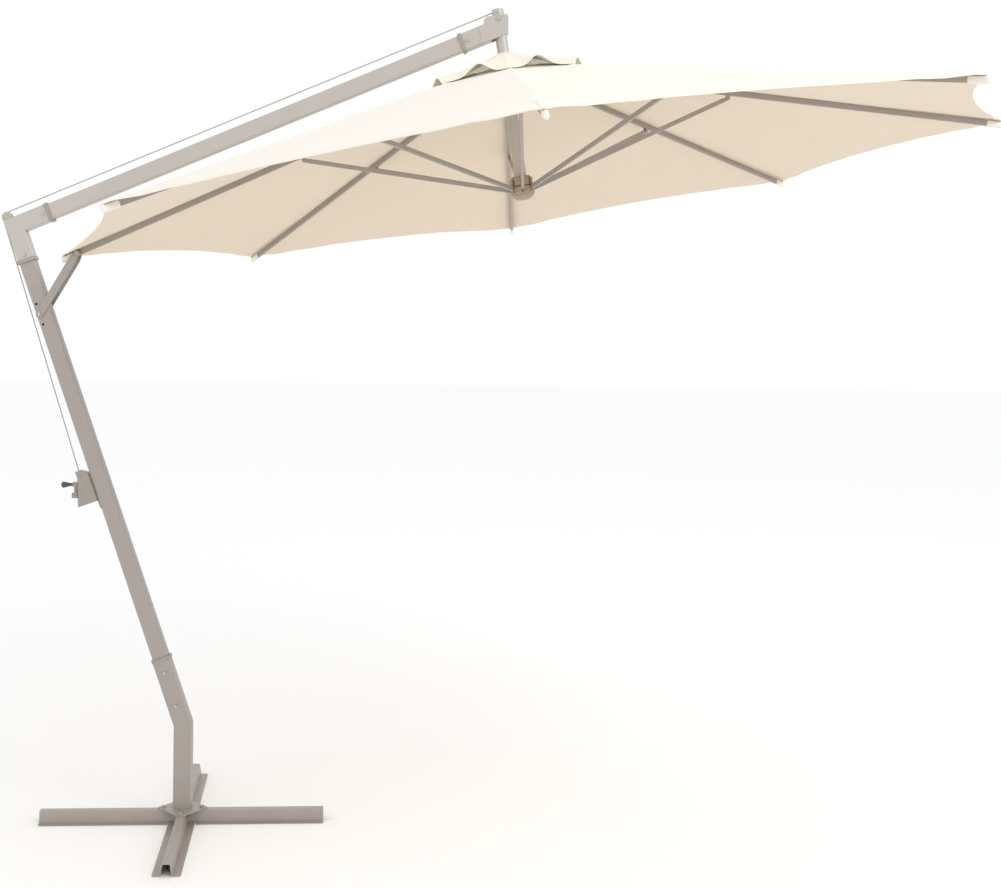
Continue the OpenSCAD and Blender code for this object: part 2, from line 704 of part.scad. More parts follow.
module hoist_cord() {
    stop_short = 5 * (head_tan - arm_tan) / norm(head_tan - arm_tan);
    color(cord_grey) cord_along(concat([spout_p],
        over_pulley(pulley_c, elbow_cord_r, pole_turn, arm_cord_turn, 8),
        [head_tan - stop_short]));
}

module mast_cord() {
    color(cord_grey) cord_along(concat(
        over_pulley(head_pulley_c, head_cord_r, arm_cord_turn, 180 - mast_tilt, 10),
        [mast_point(head_pulley_x + head_cord_r, cord_split)]));
}
cord_split = 30;

// Lower end of the cord, which pulls the runner up.
module runner_cord() {
    color(cord_grey) cord_along([mast_point(head_pulley_x + head_cord_r, cord_split + 0.5),
        mast_point(head_pulley_x + head_cord_r, runner_top)]);
}

// ---- Mast ----

module mast_tube() {
    color(arm_grey) at_mast(mast_bottom) difference() {
        ring(mast_d / 2, mast_d / 2 - mast_wall, mast_bottom + mast_top);
        translate([0, 0, mast_bottom]) across(pivot_r + run_gap, mast_d + 4);
    }
}

module mast_cap() {
    cap_r = mast_d / 2 - mast_wall - 0.1;
    color(arm_grey) difference() {
        union() {
            at_mast(-mast_top + 6) cylinder(r = cap_r, h = 6.5);
            at_mast(-mast_top) cylinder(r = mast_d / 2, h = cap_h);
            at_mast(-mast_top - cap_h) low_dome(mast_d / 2);
        }
        at_mast(-head_pulley_z) translate([head_pulley_x, 0, 0]) across(head_cord_r + cord_r + 0.8, pulley_w + 1);
        at_mast(-head_pulley_z) translate([head_pulley_x, 0, 0]) across(2, big / 20);
        at_mast(-head_pulley_z) translate([-cap_r - 4, -pulley_w / 2 - 0.5, head_cord_r - 7])
            cube([cap_r + 4, pulley_w + 1, 24]);
        at_mast(mast_top) translate([head_pulley_x + head_cord_r, 0, 0]) cylinder(r = cord_r + 1.4, h = 34);
        at_mast(0) across(pivot_r + 1, big / 20);
    }
}
cap_h = 18;
// Shallow round cap, true surface of revolution.
module low_dome(r) {
    rotate_extrude() polygon(concat([[0, 0], [r, 0]], [for (a = [15:15:75]) [r * cos(a), 4 * sin(a)]], [[0, 4]]));
}

module head_pulley() {
    color(housing_cream) at_mast(-head_pulley_z) translate([head_pulley_x, 0, 0])
        pulley(head_pulley_r - 0.3, rim_over, pulley_w, 2 + run_gap);
}

module head_pulley_axle() {
    color(steel) at_mast(-head_pulley_z) translate([head_pulley_x, 0, 0]) across(1.95, mast_d - 12);
}

// Radial slots, one for each rib or strut.
module hub_slots(w, r_in, h) {
    for (k = [0:RIBS - 1]) rotate(k * 360 / RIBS) translate([r_in, -w / 2, 0]) cube([40, w, h]);
}
module hub_pin_holes(r, len) {
    for (k = [0:RIBS - 1]) rotate(k * 360 / RIBS) translate([hinge_r, 0, 0]) across(r, len);
}
crown_pin_len = rib_w + 11;
runner_pin_len = strut_blade_w + 13;

module crown() {
    color(hub_tan) difference() {
        at_mast(crown_bottom) ring(crown_r, mast_d / 2 + 0.05, crown_bottom - crown_top);
        at_mast(crown_bottom + 1) hub_slots(rib_w + 2 * side_gap, crown_core_r, crown_bottom - crown_top + 2);
        at_mast(crown_depth) hub_pin_holes(pin_d / 2, crown_pin_len);
    }
}

module crown_pins() {
    color(steel) at_mast(crown_depth) hub_pin_holes(pin_d / 2 - 0.01, crown_pin_len);
}

module mast_collar() {
    color(hub_tan) difference() {
        at_mast(mast_bottom) union() {
            ring(mast_collar_r - 7, mast_d / 2 + 0.05, mast_collar_h);
            difference() {
                ring(mast_collar_r, mast_d / 2 + 0.05, mast_collar_h - 6);
                translate([0, 0, -1]) hub_slots(9, mast_collar_r - 8, mast_collar_h);
            }
        }
    }
}

// Runner hub: struts are pinned between its lugs, and the cord pulls it up under the mast.
module runner() {
    color(hub_tan) difference() {
        union() {
            at_mast(runner_slot_bottom) cylinder(r = crown_r, h = runner_slot_bottom - runner_top);
            at_mast(runner_bottom) rotate_extrude()
                polygon([[0, 0], [14, 0], [24, 3], [crown_r - 4, 12], [crown_r, runner_bottom - runner_slot_bottom],
                    [0, runner_bottom - runner_slot_bottom]]);
        }
        at_mast(runner_slot_bottom) hub_slots(strut_blade_w + 2 * side_gap, crown_core_r, 60);
        at_mast(runner_depth) hub_pin_holes(pin_d / 2, runner_pin_len);
    }
}

module runner_pins() {
    color(steel) at_mast(runner_depth) hub_pin_holes(pin_d / 2 - 0.01, runner_pin_len);
}

// ---- Ribs and struts ----

module rib(k) {
    ear_gap = strut_blade_w / 2 + side_gap;
    color(frame_grey) at_rib(k) difference() {
        union() {
            difference() {
                translate([blade_len, 0, 0]) rotate([0, 90, 0]) rotate([0, 0, 90])
                    linear_extrude(rib_len - blade_len) rounded(rib_w, rib_h, 1.5);
                translate([blade_len + 6, 0, 0]) rotate([0, 90, 0]) rotate([0, 0, 90])
                    linear_extrude(rib_len) rounded(rib_w - 2 * rib_wall, rib_h - 2 * rib_wall, 0.6);
            }
            translate([rib_len - 6, 0, 0]) rotate([0, 90, 0]) rotate([0, 0, 90])
                linear_extrude(6) rounded(rib_w, rib_h, 1.5);
            across(blade_h / 2, rib_w);
            translate([0, -rib_w / 2, -blade_h / 2]) cube([blade_len + 0.5, rib_w, blade_h]);
            for (y = [-1, 1]) translate([strut_pin_x, y * (ear_gap + ear_t / 2), strut_pin_z]) {
                across(6.5, ear_t);
                translate([-6.5, -ear_t / 2, 0]) cube([13, ear_t, -strut_pin_z - rib_h / 2 + 0.5]);
            }
            translate([strut_pin_x, 0, strut_pin_z]) across(pin_d / 2 - 0.01, 2 * (ear_gap + ear_t));
        }
        across(pin_d / 2 + run_gap, rib_w + 2);
        if (k == 1) translate([(link_pin_r - hinge_r) / cos(rib_slope), 0, 0]) across(link_pin_rad + run_gap, rib_w + 2);
    }
}

module strut(k) {
    blade = 15;
    color(frame_grey) at_strut(k) difference() {
        union() {
            difference() {
                translate([blade, 0, 0]) rotate([0, 90, 0]) rotate([0, 0, 90])
                    linear_extrude(strut_len - 2 * blade) rounded(strut_w, strut_h, 1.5);
                translate([blade + 5, 0, 0]) rotate([0, 90, 0]) rotate([0, 0, 90])
                    linear_extrude(strut_len - 2 * blade - 10)
                        rounded(strut_w - 2 * rib_wall, strut_h - 2 * rib_wall, 0.6);
            }
            for (x = [0, strut_len]) translate([x, 0, 0]) across(6, strut_blade_w);
            for (x = [0, strut_len - blade - 0.5])
                translate([x, -strut_blade_w / 2, -6]) cube([blade + 0.5, strut_blade_w, 12]);
        }
        across(pin_d / 2 + run_gap, 20);
        translate([strut_len, 0, 0]) across(pin_d / 2 + (k == 1 ? run_gap : open_gap), 20);
    }
}

// ---- Canopy ----

// Height above the hinge plane of the canopy's underside at radius r on a rib.
function skin_z(r) = rib_h / 2 / cos(rib_slope) + canopy_gap - (r - hinge_r) * tan(rib_slope);
hem_steps = 6;
ring_steps = 6;
// Radius at part j of the way (0 on one rib, hem_steps on the next) for the ring
// whose radius on the ribs is r; outer rings bow in towards the hem.
function gore_r(r, j, bow) = let (a = (j / hem_steps - 0.5) * 360 / RIBS, u = 2 * j / hem_steps - 1)
    (r * cos(180 / RIBS) - bow * (1 - u * u)) / cos(a);
function gore_point(r, j, k, bow, up) = let (
        a = (k + j / hem_steps) * 360 / RIBS,
        rr = gore_r(r, j, bow),
        flat_r = rr * cos((j / hem_steps - 0.5) * 360 / RIBS) / cos(180 / RIBS))
    [rr * cos(a), rr * sin(a), skin_z(flat_r) + up];
// How far the cloth reaches past canopy_r.
canopy_over = 12;
canopy_tip_r = canopy_r + canopy_over;
function ring_radius(i) = vent_hole_r + (canopy_tip_r - vent_hole_r) * i / ring_steps;
function ring_bow(i) = hem_bow * pow(i / ring_steps, 3);

// Closed thin shell between an inner and an outer ring; lift raises each point.
module shell(rows) {
    n = len(rows[0]);
    m = len(rows) / 2;
    pts = [for (row = rows) for (p = row) p];
    function id(i, j) = i * n + j % n;
    polyhedron(pts, concat(
        [for (i = [0:m - 2], j = [0:n - 1]) [id(i, j), id(i, j + 1), id(i + 1, j + 1)]],
        [for (i = [0:m - 2], j = [0:n - 1]) [id(i, j), id(i + 1, j + 1), id(i + 1, j)]],
        [for (i = [0:m - 2], j = [0:n - 1]) [id(m + i, j), id(m + i + 1, j + 1), id(m + i, j + 1)]],
        [for (i = [0:m - 2], j = [0:n - 1]) [id(m + i, j), id(m + i + 1, j), id(m + i + 1, j + 1)]],
        [for (j = [0:n - 1]) [id(m - 1, j), id(m - 1, j + 1), id(2 * m - 1, j + 1)]],
        [for (j = [0:n - 1]) [id(m - 1, j), id(2 * m - 1, j + 1), id(2 * m - 1, j)]],
        [for (j = [0:n - 1]) [id(0, j), id(m, j + 1), id(0, j + 1)]],
        [for (j = [0:n - 1]) [id(0, j), id(m, j), id(m, j + 1)]]));
}

module canopy() {
    rows = [for (up = [0, canopy_t]) for (i = [0:ring_steps])
        [for (k = [0:RIBS - 1], j = [0:hem_steps - 1]) gore_point(ring_radius(i), j, k, ring_bow(i), up)]];
    color(cloth_cream) at_mast(crown_depth) shell(rows);
}

// Small upper canopy: it climbs to the mast, lies close over each rib and arches between two.
module vent_canopy() {
    inner = mast_d / 2 + 2;
    steps = 4;
    arch = 30;
    neck_rise = 30;
    edge_bow = 14;
    clear = 3;
    function radius(i) = inner + (vent_r - inner) * i / steps;
    function lift(i, j) = canopy_t + clear + neck_rise * (1 - i / steps)
        + arch * pow(i / steps, 2) * pow(sin(180 * j / hem_steps), 2);
    rows = [for (up = [0, canopy_t]) for (i = [0:steps])
        [for (k = [0:RIBS - 1], j = [0:hem_steps - 1])
            gore_point(radius(i), j, k, edge_bow * i / steps, lift(i, j) + up)]];
    color(cloth_cream) at_mast(crown_depth) shell(rows);
}

// ---- Link ----

module at_link_low() { translate([link_low_x, 0, link_low_z]) rotate([0, link_turn, 0]) children(); }

module link() {
    color(frame_grey) at_link_low() difference() {
        union() {
            for (y = [-1, 1]) translate([0, y * (link_in + link_t / 2), 0]) round_plate(link_w, link_top_r, link_len, link_t);
            for (y = [-1, 1]) translate([0, y * (link_in + rib_w / 2 + side_gap) / 2, link_len])
                across(7, link_in - rib_w / 2 - side_gap);
        }
        translate([0, 0, link_len]) across(link_pin_rad, big / 20);
        across(3, big / 20);
    }
}

module link_bolts() {
    outer = link_in + link_t;
    color(steel) at_link_low() {
        translate([0, 0, link_len]) {
            across(link_pin_rad - 0.01, 2 * outer + 3);
            for (y = [-1, 1]) translate([0, y * (outer + 2.5), 0]) across(7, 5);
        }
        for (y = [-1, 1]) {
            translate([0, y * (outer + 2), 0]) across(6, 4);
            translate([0, y * (link_in + link_t / 2 + 0.1), 0]) across(2.99, link_t);
        }
    }
}

base_bar_x();
base_bar_y();
flange_plate();
base_bolts();
base_nuts();
lower_post();
post_collar();
pole();
elbow();
elbow_collars();
pulley_housing();
elbow_axle();
elbow_pulley();
arm();
head_bracket();
head_collar();
frame_bolts();
frame_nuts();
pivot_bolt();
pivot_nut();
winch_plate();
winch_case();
winch_screws();
crank_axle();
drum();
drum_cord();
crank_arm();
crank_knob();
hoist_cord();
mast_cord();
runner_cord();
mast_tube();
mast_cap();
head_pulley();
head_pulley_axle();
crown();
crown_pins();
mast_collar();
canopy();
vent_canopy();
runner();
runner_pins();
link();
link_bolts();
rib(1);  // rib_1
rib(2);  // rib_2
rib(3);  // rib_3
rib(4);  // rib_4
rib(5);  // rib_5
rib(6);  // rib_6
rib(7);  // rib_7
rib(8);  // rib_8
strut(1);  // strut_1
strut(2);  // strut_2
strut(3);  // strut_3
strut(4);  // strut_4
strut(5);  // strut_5
strut(6);  // strut_6
strut(7);  // strut_7
strut(8);  // strut_8
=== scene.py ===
"""Builds the looks of a cantilever parasol around its fixed frame.

The frame holds every rigid piece.  This file sews the canopy, its vent, the seam tapes and the pockets on
the rib tips, and gives each surface its material.  Lengths are in metres unless a name ends in MM.
"""

import json
import math

import bpy
from bpy.props import FloatProperty, FloatVectorProperty, IntProperty, PointerProperty
from mathutils import Matrix, Vector, noise


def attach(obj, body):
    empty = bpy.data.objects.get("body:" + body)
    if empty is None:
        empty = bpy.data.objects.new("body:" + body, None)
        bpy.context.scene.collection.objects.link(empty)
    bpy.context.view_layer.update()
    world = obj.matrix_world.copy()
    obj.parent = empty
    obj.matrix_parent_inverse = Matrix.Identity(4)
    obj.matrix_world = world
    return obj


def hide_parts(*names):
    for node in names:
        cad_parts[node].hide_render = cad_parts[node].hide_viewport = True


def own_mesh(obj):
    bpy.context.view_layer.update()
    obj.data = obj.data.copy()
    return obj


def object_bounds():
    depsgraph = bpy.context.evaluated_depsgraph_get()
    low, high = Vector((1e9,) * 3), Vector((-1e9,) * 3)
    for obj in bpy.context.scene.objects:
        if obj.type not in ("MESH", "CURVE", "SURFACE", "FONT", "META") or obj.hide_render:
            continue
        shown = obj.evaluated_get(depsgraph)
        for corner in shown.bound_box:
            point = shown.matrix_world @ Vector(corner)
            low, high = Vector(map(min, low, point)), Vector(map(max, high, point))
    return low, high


bl_info = {
    "name": "Cantilever Parasol",
    "version": (1, 0, 0),
    "blender": (4, 5, 0),
    "location": "3D View > Sidebar > Parasol",
    "description": "Sewn canopy, details and materials for a cantilever parasol",
    "category": "Object",
}

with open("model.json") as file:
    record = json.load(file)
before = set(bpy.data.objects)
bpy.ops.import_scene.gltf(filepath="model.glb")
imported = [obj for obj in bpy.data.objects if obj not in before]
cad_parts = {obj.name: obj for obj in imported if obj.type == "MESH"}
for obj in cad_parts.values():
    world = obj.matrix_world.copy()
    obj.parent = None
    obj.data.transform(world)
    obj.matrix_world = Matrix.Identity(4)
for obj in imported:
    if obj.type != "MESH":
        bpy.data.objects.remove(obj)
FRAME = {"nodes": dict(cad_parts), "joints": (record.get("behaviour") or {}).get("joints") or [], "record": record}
CAD_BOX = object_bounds()
JOINTS = {j["name"]: j for j in FRAME["joints"]}

RIBS = 8
HALF_GORE = math.pi / RIBS


# ---- Places taken from the frame ----


def fold_joint(k):
    """Name of the joint that rib k folds about."""
    return "canopy_fold" if k == 1 else f"rib_{k}_fold"


def joint_place(name):
    return Vector(JOINTS[name]["pos_m"])


CROWN = sum((joint_place(fold_joint(k)) for k in range(1, RIBS + 1)), Vector()) / RIBS
HINGE_R = (joint_place("canopy_fold") - CROWN).length


def rib_axes(k):
    """Outward, sideways and upward directions of rib k, square to the mast."""
    out = (joint_place(fold_joint(k)) - CROWN).normalized()
    side = Vector(JOINTS[fold_joint(k)]["axis"]).normalized()
    return out, side, out.cross(side)


# ---- Sizes and colours ----


def linear(code):
    """Linear colour of an sRGB hex code."""
    parts = [int(code[i : i + 2], 16) / 255 for i in (1, 3, 5)]
    return [c / 12.92 if c <= 0.04045 else ((c + 0.055) / 1.055) ** 2.4 for c in parts]


def length(name, description, default):
    return FloatProperty(name=name, description=description, default=default, unit="LENGTH", min=0)


def colour(name, description, code):
    return FloatVectorProperty(
        name=name, description=description, default=linear(code), subtype="COLOR", size=3, min=0, max=1
    )


class ClothSizes(bpy.types.PropertyGroup):
    """Sizes of the canopy's cloth."""

    tip_r: length("Tip radius", "Radius of the cloth at a rib's tip", 1.505)
    vent_hole_r: length("Vent hole radius", "Radius of the opening under the vent", 0.150)
    vent_r: length("Vent radius", "Radius of the vent canopy", 0.275)
    vent_inner_r: length("Vent neck radius", "Radius at which the vent closes round the mast", 0.021)
    vent_neck: length("Vent neck rise", "Climb of the vent from its edge to the mast", 0.032)
    vent_arch: length("Vent arch", "Rise of the vent between two ribs", 0.032)
    vent_bow: length("Vent bow", "How far the vent's edge bows in between two ribs", 0.014)
    rib_slope: FloatProperty(
        name="Rib slope", description="Fall of an open rib", default=math.radians(15.2), subtype="ANGLE"
    )
    above_rib: length("Height above rib", "From a rib's middle to the cloth's underside", 0.0105)
    hem_bow: length("Hem bow", "How far a hem bows in between two ribs", 0.055)
    thick: length("Cloth thickness", "Thickness of the cloth", 0.0012)
    hem_w: length("Hem width", "Width of the turned and stitched hem", 0.022)
    seam_w: length("Seam width", "Width of the felled seam along a rib", 0.014)
    tape_w: length("Tape width", "Width of the seam tape under a rib seam", 0.034)
    pocket_len: length("Pocket length", "Length of the pocket on a rib's tip", 0.052)
    sag: length("Cloth sag", "How far a gore sags between two ribs", 0.006)
    rows: IntProperty(name="Rows", description="Rows of cloth from vent to hem", default=44, min=8)
    columns: IntProperty(name="Columns", description="Columns of cloth across a sector", default=36, min=8)


class Colours(bpy.types.PropertyGroup):
    """Colours of the parasol's materials."""

    taupe: colour("Frame coat", "Powder coat of pole, base, ribs and struts", "#A69E98")
    # Painted light: the frame's taupe coat again, drawn lighter on arm, elbow and mast for the light that falls on
    # them.
    painted_light_taupe: colour("Arm coat", "Powder coat of arm, elbow and mast", "#BDB7B1")
    cloth_out: colour("Cloth, outside", "Canvas seen from above", "#EEE9DF")
    # Painted shade: the same canvas as outside, drawn darker beige for the shade under the canopy.
    cloth_in_painted_shade: colour("Cloth, inside", "Canvas seen from below", "#E6D6C0")
    tape: colour("Seam tape", "Tape under the rib seams", "#E4D3B8")
    vent: colour("Vent cloth", "Canvas of the vent canopy", "#EFEAD8")
    hub: colour("Hubs", "Moulded nylon of crown and runner", "#A8937F")
    grey: colour("Grey plastic", "Moulded collars and winch case", "#A0978F")
    knob: colour("Knob", "Dark grip of the crank", "#55514D")
    cream: colour("Cream plastic", "Pulley housing and wheels", "#BAAE9E")
    cord: colour("Cord", "Braided polyester cord", "#C6C3BF")
    zinc: colour("Fasteners", "Zinc-plated steel", "#BDBBB7")


# ---- Materials ----

# Size of what each pattern draws.
MOTTLE_MM = 90
PEEL_MM = 2.2
RUB_MM = 30
DRIFT_MM = 20
SPARK_MM = 0.9
CLOUD_MM = 4
STRAND_MM = 2.5133
THREAD_MM = 10.053
SLUB_MM = 12
SHADE_MM = 300
FLOOR_MM = 500

# The wave pattern has a crest every 2 pi / 20 at scale 1.
WAVE_PITCH_MM = 1000 * 2 * math.pi / 20

# Turns of the two sets of strands in the cord's braid, about X, Y and Z.
STRAND_TURNS = ((0.3, 0.7, 0.2), (0.3, -0.7, 0.2))


def add(tree, kind, links=None, **settings):
    """Adds a node.  Settings name its fields or its inputs; links name inputs and the sockets they take."""
    made = tree.nodes.new(kind)
    for name, value in settings.items():
        if hasattr(made, name):
            setattr(made, name, value)
        else:
            made.inputs[name.replace("_", " ")].default_value = value
    for name, socket in (links or {}).items():
        tree.links.new(socket, made.inputs[name])
    return made


def blank(name):
    """New material holding only an output, and its Principled shader."""
    made = bpy.data.materials.new(name)
    made.use_nodes = True
    tree = made.node_tree
    tree.nodes.clear()
    shader = add(tree, "ShaderNodeBsdfPrincipled")
    add(tree, "ShaderNodeOutputMaterial", {"Surface": shader.outputs["BSDF"]})
    return made, tree, shader


def tone(tree, base, mask, low, high):
    """Colour of the base made darker and lighter by the mask."""
    ramp = add(tree, "ShaderNodeValToRGB", {"Fac": mask})
    for element, gain in zip(ramp.color_ramp.elements, (low, high)):
        element.color = [min(c * gain, 1) for c in base] + [1]
    return ramp.outputs["Color"]


def powder_coat(name, base, rough):
    """Powder-coated steel: baked polyester powder, satin, with an orange-peel skin and faint mottling."""
    made, tree, shader = blank(name)
    place = add(tree, "ShaderNodeTexCoord").outputs["Object"]
    mottle = add(tree, "ShaderNodeTexNoise", {"Vector": place}, Scale=1000 / MOTTLE_MM, Detail=3.0)
    peel = add(tree, "ShaderNodeTexNoise", {"Vector": place}, Scale=1000 / PEEL_MM, Detail=2.0)
    rub = add(tree, "ShaderNodeTexNoise", {"Vector": place}, Scale=1000 / RUB_MM, Detail=5.0)
    shade = tone(tree, base, mottle.outputs["Fac"], low=0.94, high=1.05)
    tree.links.new(shade, shader.inputs["Base Color"])
    # Handling leaves the satin a little duller and a little glossier from place to place.
    spread = add(
        tree, "ShaderNodeMapRange", {"Value": rub.outputs["Fac"]}, To_Min=rough - 0.05, To_Max=rough + 0.07
    )
    tree.links.new(spread.outputs["Result"], shader.inputs["Roughness"])
    bump = add(tree, "ShaderNodeBump", {"Height": peel.outputs["Fac"]}, Strength=0.25, Distance=0.0003)
    tree.links.new(bump.outputs["Normal"], shader.inputs["Normal"])
    shader.inputs["Metallic"].default_value = 0.25
    return made


def moulded(name, base, rough):
    """Injection-moulded plastic: spark-eroded grain with a slight colour drift in thick places.

    The grain is drawn about ten times as wide as the real one, which is too fine to show.
    """
    made, tree, shader = blank(name)
    place = add(tree, "ShaderNodeTexCoord").outputs["Object"]
    drift = add(tree, "ShaderNodeTexNoise", {"Vector": place}, Scale=1000 / DRIFT_MM, Detail=2.0)
    grain = add(tree, "ShaderNodeTexVoronoi", {"Vector": place}, Scale=1000 / SPARK_MM)
    shade = tone(tree, base, drift.outputs["Fac"], low=0.93, high=1.06)
    tree.links.new(shade, shader.inputs["Base Color"])
    bump = add(tree, "ShaderNodeBump", {"Height": grain.outputs["Distance"]}, Strength=0.2, Distance=0.0002)
    tree.links.new(bump.outputs["Normal"], shader.inputs["Normal"])
    shader.inputs["Roughness"].default_value = rough
    return made


def zinc_plate(name, base):
    """Zinc-plated steel: bright, slightly cloudy plating over turned metal."""
    made, tree, shader = blank(name)
    place = add(tree, "ShaderNodeTexCoord").outputs["Object"]
    cloud = add(tree, "ShaderNodeTexNoise", {"Vector": place}, Scale=1000 / CLOUD_MM, Detail=4.0)
    shade = tone(tree, base, cloud.outputs["Fac"], low=0.85, high=1.08)
    tree.links.new(shade, shader.inputs["Base Color"])
    spread = add(tree, "ShaderNodeMapRange", {"Value": cloud.outputs["Fac"]}, To_Min=0.22, To_Max=0.38)
    tree.links.new(spread.outputs["Result"], shader.inputs["Roughness"])
    shader.inputs["Metallic"].default_value = 1.0
    return made


def braid(name, base):
    """Braided polyester cord: two sets of strands that cross at a slant, with painted shade in the gaps between
    them.
    """
    made, tree, shader = blank(name)
    place = add(tree, "ShaderNodeTexCoord").outputs["Object"]
    heights = []
    for turn in STRAND_TURNS:
        turned = add(tree, "ShaderNodeMapping", {"Vector": place}, Rotation=turn)
        strand = add(
            tree, "ShaderNodeTexWave", {"Vector": turned.outputs["Vector"]}, Scale=WAVE_PITCH_MM / STRAND_MM
        )
        heights.append(strand.outputs["Fac"])
    both = add(tree, "ShaderNodeMath", {0: heights[0], 1: heights[1]}, operation="MULTIPLY")
    # Painted shade: darker where the strands dip, in the gaps between them.
    shade = tone(tree, base, both.outputs["Value"], low=0.72, high=1.1)
    tree.links.new(shade, shader.inputs["Base Color"])
    bump = add(tree, "ShaderNodeBump", {"Height": both.outputs["Value"]}, Strength=0.5, Distance=0.0005)
    tree.links.new(bump.outputs["Normal"], shader.inputs["Normal"])
    shader.inputs["Roughness"].default_value = 0.85
    return made


def canvas(name, base, low, high):
    """Solution-dyed polyester canvas, plain weave: matt, with a dry sheen and a faint slub.

    The threads are drawn 10 mm apart, some twenty times their real 0.5 mm: seen from a few metres away, a
    weave much finer than that doesn't show.
    """
    made, tree, shader = blank(name)
    flat = add(tree, "ShaderNodeTexCoord").outputs["UV"]
    threads = []
    for direction in ("X", "Y"):
        thread = add(
            tree,
            "ShaderNodeTexWave",
            {"Vector": flat},
            bands_direction=direction,
            Scale=WAVE_PITCH_MM / THREAD_MM,
        )
        threads.append(thread.outputs["Fac"])
    weave = add(tree, "ShaderNodeMath", {0: threads[0], 1: threads[1]}, operation="ADD")
    slub = add(tree, "ShaderNodeTexNoise", {"Vector": flat}, Scale=1000 / SLUB_MM, Detail=6.0)
    broad = add(tree, "ShaderNodeTexNoise", {"Vector": flat}, Scale=1000 / SHADE_MM, Detail=2.0)
    mixed = add(
        tree, "ShaderNodeMath", {0: slub.outputs["Fac"], 1: broad.outputs["Fac"]}, operation="MULTIPLY"
    )
    shade = tone(tree, base, mixed.outputs["Value"], low, high)
    tree.links.new(shade, shader.inputs["Base Color"])
    slubbed = add(tree, "ShaderNodeBump", {"Height": slub.outputs["Fac"]}, Strength=0.12, Distance=0.0006)
    bump = add(
        tree,
        "ShaderNodeBump",
        {"Height": weave.outputs["Value"], "Normal": slubbed.outputs["Normal"]},
        Strength=0.3,
        Distance=0.0003,
    )
    tree.links.new(bump.outputs["Normal"], shader.inputs["Normal"])
    shader.inputs["Roughness"].default_value = 0.9
    shader.inputs["Sheen Weight"].default_value = 0.15
    return made


# ---- Meshes ----

SHARP_EDGE = math.radians(35)


def new_piece(name, points, faces, materials, face_slots=None, flat=None):
    """Mesh object with smooth shading, one material a face, and a flat map in metres."""
    mesh = bpy.data.meshes.new(name)
    mesh.from_pydata([tuple(p) for p in points], [], faces)
    for material in materials:
        mesh.materials.append(material)
    if face_slots:
        mesh.polygons.foreach_set("material_index", face_slots)
    mesh.polygons.foreach_set("use_smooth", [True] * len(mesh.polygons))
    if flat:
        layer = mesh.uv_layers.new(name="flat")
        for loop in mesh.loops:
            layer.data[loop.index].uv = flat[loop.vertex_index]
    mesh.set_sharp_from_angle(angle=SHARP_EDGE)
    mesh.update()
    made = bpy.data.objects.new(name, mesh)
    bpy.context.scene.collection.objects.link(made)
    return made


def shell(name, top, under, materials, flat):
    """Closed thin sheet between two grids of points: material 0 above and on the rim, 1 beneath."""
    rows, columns = len(top), len(top[0])
    count = rows * columns
    points = [p for row in top for p in row] + [p for row in under for p in row]

    def at(i, j, layer):
        return layer * count + i * columns + j

    faces, slots = [], []
    for i in range(rows - 1):
        for j in range(columns - 1):
            faces.append((at(i, j, 0), at(i + 1, j, 0), at(i + 1, j + 1, 0), at(i, j + 1, 0)))
            faces.append((at(i, j, 1), at(i, j + 1, 1), at(i + 1, j + 1, 1), at(i + 1, j, 1)))
            slots += [0, 1]
    rim = [(i, 0) for i in range(rows)] + [(rows - 1, j) for j in range(1, columns)]
    rim += [(i, columns - 1) for i in range(rows - 2, -1, -1)] + [(0, j) for j in range(columns - 2, 0, -1)]
    for (i, j), (m, n) in zip(rim, rim[1:] + rim[:1]):
        faces.append((at(i, j, 0), at(i, j, 1), at(m, n, 1), at(m, n, 0)))
        slots.append(0)
    flats = [f for row in flat for f in row] * 2
    return new_piece(name, points, faces, materials, slots, flats)


def loft(name, rings, materials):
    """Skin over rings of points, with its ends closed."""
    n = len(rings[0])
    points = [p for ring in rings for p in ring]
    faces = [
        (i * n + j, i * n + (j + 1) % n, (i + 1) * n + (j + 1) % n, (i + 1) * n + j)
        for i in range(len(rings) - 1)
        for j in range(n)
    ]
    faces.append(tuple(reversed(range(n))))
    faces.append(tuple((len(rings) - 1) * n + j for j in range(n)))
    return new_piece(name, points, faces, materials)


def steps(low, high, count):
    """Even steps from low to high, with both ends."""
    return [low + (high - low) * i / count for i in range(count + 1)]


def rounded(value, power):
    """The value raised to a power, keeping its sign: turns an ellipse towards a box."""
    return math.copysign(abs(value) ** power, value)


# ---- Cloth ----

# The hem ends in a step of this share of its width, and is this many cloths thick.
HEM_STEP = 0.1
HEM_PLIES = 2.2

# The seam ends in a step of this share of its half width.  A point nearer to the rib than SEAM_REACH of the
# seam's width is in the seam, where the cloth is thicker by SEAM_PLY.
SEAM_STEP = 0.25
SEAM_REACH = 0.55
SEAM_PLY = 0.0016

# Folds that fan out from a rib's tip: where they start on the way out, how close together they are, how
# soon they fade to the side, and how high they are.
FAN_START = 0.72
FAN_TURNS = 26
FAN_FADE = 5
FAN_HIGH = 0.0035

# Slow unevenness of a gore: its height, its share at the vent, its waves across and along, and the shift
# that makes each sector's different.
DRIFT_HIGH = 0.014
DRIFT_AT_VENT = 0.3
DRIFT_WAVES = (3, 2.4)
DRIFT_APART = 2

# The vent's edge lies this far above the main cloth's underside, and is turned from VENT_HEM outwards.
VENT_CLEAR = 0.004
VENT_HEM = 0.93
VENT_HEM_PLIES = 2.0
VENT_ARCH_POWER = 5
VENT_RIPPLE = 0.008
VENT_WAVES = (4, 3, 5)

# Shift along the flat map from one sector to the next, so that no two share a stretch of weave.
CLOTH_SHIFT = 1.3
VENT_SHIFT = 0.7

